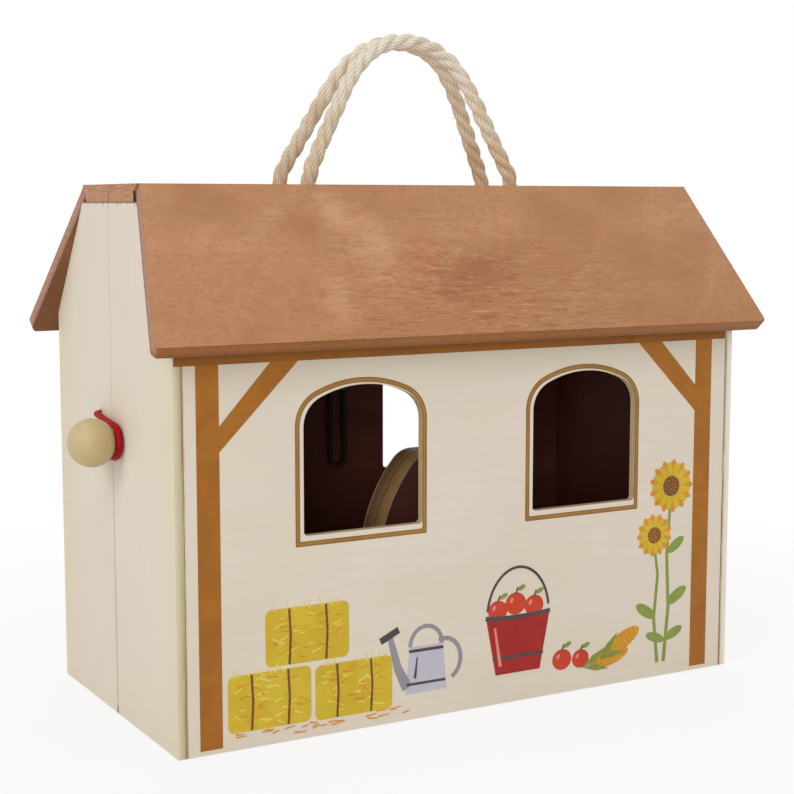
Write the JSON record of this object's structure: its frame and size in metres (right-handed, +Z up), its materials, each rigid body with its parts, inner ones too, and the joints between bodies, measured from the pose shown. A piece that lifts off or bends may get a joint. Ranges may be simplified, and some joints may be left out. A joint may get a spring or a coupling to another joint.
{
  "type": "toy barn",
  "caption": "wooden toy barn that opens like a book into two hinged halves, with arched windows, rope handles, and an elastic loop over a ball knob as its catch",
  "frame": {"origin": "middle of the closed barn's footprint, on the surface it stands on", "axes": "X along the barn with the hinges at +X, the front printed wall at -Y, Z up"},
  "size_m": [0.3353, 0.1724, 0.3172],
  "materials": {
    "wall_cream": "cream printed plywood",
    "roof_brown": "brown stained plywood",
    "inner_brown": "dark brown stained plywood",
    "bare_ply": "bare plywood",
    "beech": "bare turned beech",
    "rope": "natural twisted rope",
    "elastic": "red covered elastic",
    "strap": "dark strap",
    "hinge_brass": "brass plate",
    "pin_steel": "steel"
  },
  "bodies": {
    "rear_half": {"rear_wall": "wall_cream", "rear_floor": "inner_brown", "rear_left_gable": "wall_cream", "rear_right_gable": "wall_cream", "rear_roof_panel": "roof_brown", "rear_ridge_board": "bare_ply", "rear_ridge_cap": "roof_brown", "rear_stall_front": "inner_brown", "rear_stall_divider": "inner_brown", "rear_stall_dowels": "bare_ply", "rear_rope_knots": "rope", "rear_hinge_leaves": "hinge_brass", "hinge_pins": "pin_steel", "rear_hinge_screws": "hinge_brass", "elastic_loop": "elastic", "elastic_knots": "elastic", "strap_peg": "inner_brown", "tack_strap": "strap"},
    "front_half": {"front_wall": "wall_cream", "front_floor": "inner_brown", "front_left_gable": "wall_cream", "front_right_gable": "wall_cream", "front_roof_panel": "roof_brown", "front_ridge_board": "bare_ply", "front_ridge_cap": "roof_brown", "front_stall_front": "inner_brown", "front_stall_divider": "inner_brown", "front_stall_dowels": "bare_ply", "front_rope_knots": "rope", "front_hinge_leaves": "hinge_brass", "front_hinge_screws": "hinge_brass", "knob": "beech", "knob_screw": "pin_steel"},
    "rear_handle": {"rear_rope_handle": "rope"},
    "front_handle": {"front_rope_handle": "rope"}
  },
  "joints": [
    {"name": "halves_open", "type": "hinge", "parent": "rear_half", "child": "front_half", "pos_m": [0.1529, 0, 0], "axis": [0, 0, 1], "range_deg": [0, 160], "deforming": ["elastic_loop"]},
    {"name": "rear_handle_tilt", "type": "hinge", "parent": "rear_half", "child": "rear_handle", "pos_m": [0, 0.0134, 0.248], "axis": [-1, 0, 0], "range_deg": [0, 75]},
    {"name": "front_handle_tilt", "type": "hinge", "parent": "front_half", "child": "front_handle", "pos_m": [0, -0.0134, 0.248], "axis": [1, 0, 0], "range_deg": [0, 75]}
  ]
}
